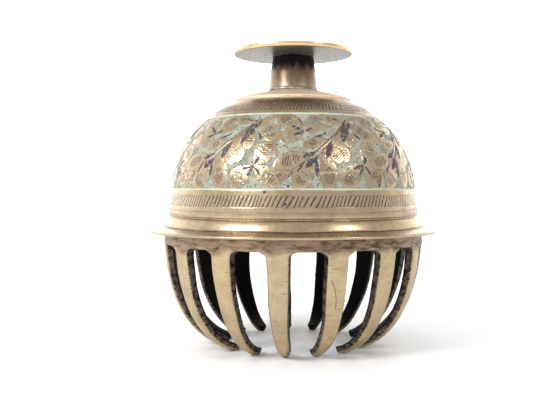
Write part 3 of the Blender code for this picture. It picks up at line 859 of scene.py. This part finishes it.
def remeshed(thing, voxel):
    """The object as one skin of small even faces."""
    remesh = thing.modifiers.new("Skin", "REMESH")
    remesh.mode = "VOXEL"
    remesh.voxel_size = voxel
    smooth = thing.modifiers.new("Ease", "SMOOTH")
    smooth.factor = 0.5
    smooth.iterations = 2
    seen = thing.evaluated_get(bpy.context.evaluated_depsgraph_get())
    mesh = bpy.data.meshes.new_from_object(seen)
    thing.modifiers.clear()
    thing.data = mesh
    mesh.shade_smooth()


def wobble(places, scale, seed):
    """Smooth random values from about -1 to 1 over the places, from a few crossed waves."""
    rng = np.random.default_rng(seed)
    value = np.zeros(len(places))
    for octave in range(3):
        for _ in range(5):
            way = rng.normal(size=3)
            way *= scale * 2**octave / np.linalg.norm(way)
            value += np.sin(places @ way + rng.uniform(0, math.tau)) / 2**octave
    return value / 4.0


def claw_casting():
    """The band and its claws as the one casting that they are."""
    shape = bmesh.new()
    rng = np.random.default_rng(3)
    places = []
    for name in CLAW_NODES:
        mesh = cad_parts[name].data
        middle = sum((vertex.co for vertex in mesh.vertices), Vector()) / len(mesh.vertices)
        places.append(math.atan2(middle.y, middle.x))
    for place in places:
        claw_shape(shape, place, rng)
    band_shape(shape)
    bmesh.ops.recalc_face_normals(shape, faces=shape.faces)
    mesh = bpy.data.meshes.new("claw_casting")
    shape.to_mesh(mesh)
    shape.free()
    thing = placed("claw_casting", mesh)
    remeshed(thing, VOXEL * MM)
    mesh = thing.data
    mesh.materials.clear()
    mesh.materials.append(filed_casting())

    count = len(mesh.vertices)
    co = np.empty(count * 3)
    mesh.vertices.foreach_get("co", co)
    co = co.reshape(-1, 3) / MM
    normal = np.empty(count * 3)
    mesh.vertex_normals.foreach_get("vector", normal)
    normal = normal.reshape(-1, 3)
    height = co[:, 2] - DOME_LOW.z / MM + DESIGN_FLANGE_FOOT
    spine = np.array(claw_spine())
    lean = np.interp(-height, -spine[:, 2], spine[:, 3])
    around = np.arctan2(co[:, 1], co[:, 0])
    gaps = (around[:, None] - np.array(places)[None, :] + math.pi) % math.tau - math.pi
    nearest = np.array(places)[np.argmin(np.abs(gaps), axis=1)]
    on_band = np.clip((height - 41.2) / 1.2, 0.0, 1.0)
    facing = nearest + (around - nearest) * on_band
    outward = (
        normal[:, 0] * np.cos(facing) * np.cos(lean)
        + normal[:, 1] * np.sin(facing) * np.cos(lean)
        - normal[:, 2] * np.sin(lean)
    )
    side = 1.0 - np.abs(outward)
    rough = 0.04 * wobble(co, 0.7, 5) + 0.07 * side * wobble(co * (1, 1, 1.6), 2.6, 9)
    rough += 0.07 * on_band * wobble(co * (1, 1, 3), 1.1, 13)
    keep = np.clip(height / 1.2, 0.0, 1.0)
    co += normal * (rough * keep)[:, None]
    co[:, 2] = np.maximum(co[:, 2], CAD_BOX[0][2] / MM)
    mesh.vertices.foreach_set("co", (co * MM).reshape(-1))
    mesh.update()
    paint(thing, "outward", outward)
    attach(thing, "bell")
    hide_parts("claw_band", *CLAW_NODES)
    return thing


# ---------------------------------------------------------------- handle


def box_mm(name):
    low, high = (Vector(corner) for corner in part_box(name))
    return low, high, high.x


def handle():
    low, high, foot_r = box_mm("handle_stem")
    tall = high.z - low.z
    waist = foot_r * 9.0 / 9.9
    bore = foot_r * 2.3 / 9.9
    shares = [(1.0, foot_r * 8.3 / 9.9), (0.65, waist), (0.36, foot_r * 9.4 / 9.9)]
    shares += [(0.12, foot_r * 9.7 / 9.9), (0.04, foot_r), (0.0, foot_r - 0.2 * MM)]
    outer = softened(resampled([(r, low.z + tall * share) for share, r in shares], 0.3 * MM), 3)
    rows = outer + [(bore, low.z), (bore, high.z)]

    def worn(angle, outline):
        shift = np.zeros((len(outline), len(angle), 3))
        out = 0.06 * MM * np.sin(3 * angle + 1.0)
        out = out + 0.04 * MM * np.sin(7 * angle + outline[:, 1][:, None] / MM * 0.5)
        out = out * (outline[:, 0][:, None] > bore * 1.5)
        shift[..., 0] = out * np.cos(angle)
        shift[..., 1] = out * np.sin(angle)
        return shift

    stem = revolved("stem_sleeve", rows, 160, stem_brass(), worn)
    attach(stem, "bell")
    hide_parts("handle_stem")

    disc_low, disc_high, disc_r = box_mm("handle_disc")
    edge = disc_r - 0.25 * MM
    countersink = disc_r * 3.9 / 24.4
    rows = [(countersink, disc_high.z), (disc_r * 0.5, disc_high.z), (edge - 0.9 * MM, disc_high.z)]
    rows += [(edge - 0.2 * MM, disc_high.z - 0.1 * MM), (disc_r - 0.05 * MM, disc_high.z - 0.5 * MM)]
    rows += [(disc_r, disc_high.z - 1.05 * MM), (disc_r - 0.08 * MM, disc_high.z - 1.6 * MM)]
    rows += [(edge - 0.15 * MM, disc_high.z - 2.0 * MM), (edge - 0.7 * MM, disc_low.z + 0.5 * MM)]
    rows = softened(resampled(rows, 0.25 * MM), 1)
    rows += resampled([(edge - 1.0 * MM, disc_low.z + 0.47 * MM), (disc_r * 0.45, disc_low.z)], 0.5 * MM)
    rows += [(bore, disc_low.z), (bore, disc_high.z - 1.4 * MM)]

    def hammered(angle, outline):
        shift = np.zeros((len(outline), len(angle), 3))
        under = (outline[:, 1] < disc_high.z - 1.9 * MM)[:, None] & (outline[:, 0] > disc_r * 0.3)[:, None]
        r = outline[:, 0][:, None] / MM
        dents = np.sin(r * 1.3 + 3 * np.cos(angle)) * np.sin(r * 0.9 * np.sin(angle) + 2.0)
        dents = dents + np.sin(r * 2.6 * np.cos(angle + 0.5))
        shift[..., 2] = np.where(under, 0.015 * MM * (dents + 2.0), 0.0)
        return shift

    disc = revolved("disc_plate", rows, 240, disc_brass(), hammered)
    count = len(disc.data.vertices)
    co = np.empty(count * 3)
    disc.data.vertices.foreach_get("co", co)
    paint(disc, "below", np.clip((disc_high.z - 1.75 * MM - co.reshape(-1, 3)[:, 2]) / (0.3 * MM), 0.0, 1.0))
    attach(disc, "bell")
    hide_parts("handle_disc")
    return low.z, foot_r


def solder_bead(height, radius):
    """A thin uneven bead of solder round the stem's foot."""
    columns, around = 180, 10
    angle = np.arange(columns) / columns * math.tau
    swell = 0.24 + 0.07 * np.sin(angle * 3 + 0.6) + 0.05 * np.sin(angle * 8) + 0.03 * np.sin(angle * 19 + 2)
    turn = -np.arange(around) / around * math.tau
    places = np.empty((around, columns, 3))
    reach = radius + 0.06 * MM + np.cos(turn)[:, None] * swell * MM
    places[..., 0] = reach * np.cos(angle)
    places[..., 1] = reach * np.sin(angle)
    places[..., 2] = height + 0.1 * MM * np.sin(angle * 2) + np.sin(turn)[:, None] * swell * 1.1 * MM
    bead = gridded("solder_bead", places, solder())
    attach(bead, "bell")


# ---------------------------------------------------------------- clapper


def finish_metal_parts():
    """The rod, link, shank and washer keep their CAD shapes. The ball becomes a rough casting."""
    iron = forged_iron()
    for name in ("tie_rod", "clapper_link", "clapper_shank", "crown_washer"):
        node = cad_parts[name]
        node.data.materials.clear()
        node.data.materials.append(iron)
    low, high = (Vector(corner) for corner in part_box("clapper_ball"))
    middle, radius, half = (low.z + high.z) / 2, high.x, (high.z - low.z) / 2
    bore = radius * 0.2
    start = math.asin(min(1.0, half / radius))
    rows = []
    for i in range(41):
        turn = start - 2 * start * i / 40
        seam = 0.16 * MM * math.exp(-((turn / 0.035) ** 2))
        rows.append(((radius - 0.16 * MM) * math.cos(turn) + seam, middle + radius * math.sin(turn)))
    rows += [(bore, low.z), (bore, high.z)]

    def sand(angle, outline):
        shift = np.zeros((len(outline), len(angle), 3))
        up = outline[:, 1][:, None] / MM
        dents = 0.05 * MM * (np.sin(5 * angle + up) * np.sin(up * 1.3) + np.sin(11 * angle - up * 2.1) - 2.0)
        dents = dents * (outline[:, 0][:, None] > bore * 1.5)
        shift[..., 0] = dents * np.cos(angle)
        shift[..., 1] = dents * np.sin(angle)
        return shift

    ball = revolved("clapper_casting", rows, 96, cast_clapper(), sand)
    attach(ball, "clapper")
    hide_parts("clapper_ball")


# ---------------------------------------------------------------- stage, light and camera


TABLE_R = 6.0


def table():
    mesh = bpy.data.meshes.new("table")
    shape = bmesh.new()
    bmesh.ops.create_circle(shape, cap_ends=True, segments=96, radius=TABLE_R)
    shape.to_mesh(mesh)
    shape.free()
    thing = placed("table", mesh)
    thing.location.z = CAD_BOX[0][2]
    mesh.materials.append(table_top())


# The room's strength on the camera's side and behind the bell, and the softboxes' watts
FRONT = 0.82
BEHIND = 2.3
LEFT_POWER = 6.4
RIGHT_POWER = 1.4
LIGHTS_AIM = Vector((0.0, 0.0, 0.06))


def softbox(name, place, size, power):
    light = bpy.data.lights.new(name, "AREA")
    light.shape = "RECTANGLE"
    light.size = light.size_y = size
    light.energy = power
    thing = placed(name, light)
    thing.location = place
    thing.rotation_euler = (LIGHTS_AIM - Vector(place)).to_track_quat("-Z", "Y").to_euler()


def studio():
    """A white room that is dimmer on the camera's side and overhead, with two softboxes."""
    world = bpy.data.worlds.new("studio")
    bpy.context.scene.world = world
    world.use_nodes = True
    tree = world.node_tree
    background = tree.nodes["Background"]

    def node(kind, **settings):
        made = tree.nodes.new(kind)
        for key, value in settings.items():
            setattr(made, key, value)
        return made

    def wire(a, b):
        tree.links.new(a, b)

    def sum_of(operation, a, b):
        made = node("ShaderNodeMath", operation=operation)
        for value, socket in ((a, made.inputs[0]), (b, made.inputs[1])):
            if isinstance(value, float):
                socket.default_value = value
            else:
                wire(value, socket)
        return made.outputs[0]

    def step(value, low, high):
        made = node("ShaderNodeMapRange", interpolation_type="SMOOTHSTEP")
        wire(value, made.inputs["Value"])
        made.inputs["From Min"].default_value = low
        made.inputs["From Max"].default_value = high
        return made.outputs["Result"]

    split = node("ShaderNodeSeparateXYZ")
    wire(node("ShaderNodeTexCoord").outputs["Generated"], split.inputs[0])
    x, y, z = split.outputs
    behind = step(y, -0.12, 0.62)
    front = sum_of("SUBTRACT", FRONT, sum_of("MULTIPLY", x, 0.14))
    low = sum_of("SUBTRACT", 1.0, step(z, 0.25, 0.75))
    bright = sum_of("MULTIPLY", behind, low)
    level_out = sum_of("ADD", front, sum_of("MULTIPLY", bright, BEHIND - FRONT))
    from_strip = sum_of("ABSOLUTE", sum_of("SUBTRACT", sum_of("DIVIDE", y, x), 0.55), 0.0)
    strip = sum_of("MULTIPLY", sum_of("SUBTRACT", 1.0, step(from_strip, 0.05, 0.14)), step(x, 0.2, 0.3))
    level_out = sum_of("MULTIPLY", level_out, sum_of("SUBTRACT", 1.0, sum_of("MULTIPLY", strip, 0.5)))
    wire(level_out, background.inputs["Strength"])
    background.inputs["Color"].default_value = (1.0, 1.0, 1.0, 1.0)
    softbox("left_softbox", (-0.60, -0.53, 0.59), 0.30, LEFT_POWER)
    softbox("right_softbox", (0.60, -0.46, 0.62), 0.16, RIGHT_POWER)


CAMERA_FAR, CAMERA_HIGH = 324.0 * MM, 65.0 * MM
CAMERA_PITCH, CAMERA_YAW = math.radians(1.824), math.radians(0.949)
CAMERA_LENS, CAMERA_SENSOR = 50.46, 36.0


def camera():
    """The photograph's view: level with the middle of the dome, from close in front."""
    data = bpy.data.cameras.new("camera")
    data.lens, data.sensor_width = CAMERA_LENS, CAMERA_SENSOR
    thing = placed("camera", data)
    thing.location = (0.0, -CAMERA_FAR, CAD_BOX[0][2] + CAMERA_HIGH)
    thing.rotation_euler = (math.pi / 2 - CAMERA_PITCH, 0.0, CAMERA_YAW)
    bpy.context.scene.camera = thing


camera()
studio()
table()
dome_casting()
claw_casting()
stem_foot, stem_r = handle()
solder_bead(stem_foot, stem_r)
finish_metal_parts()
bpy.context.scene.view_settings.view_transform = "Standard"
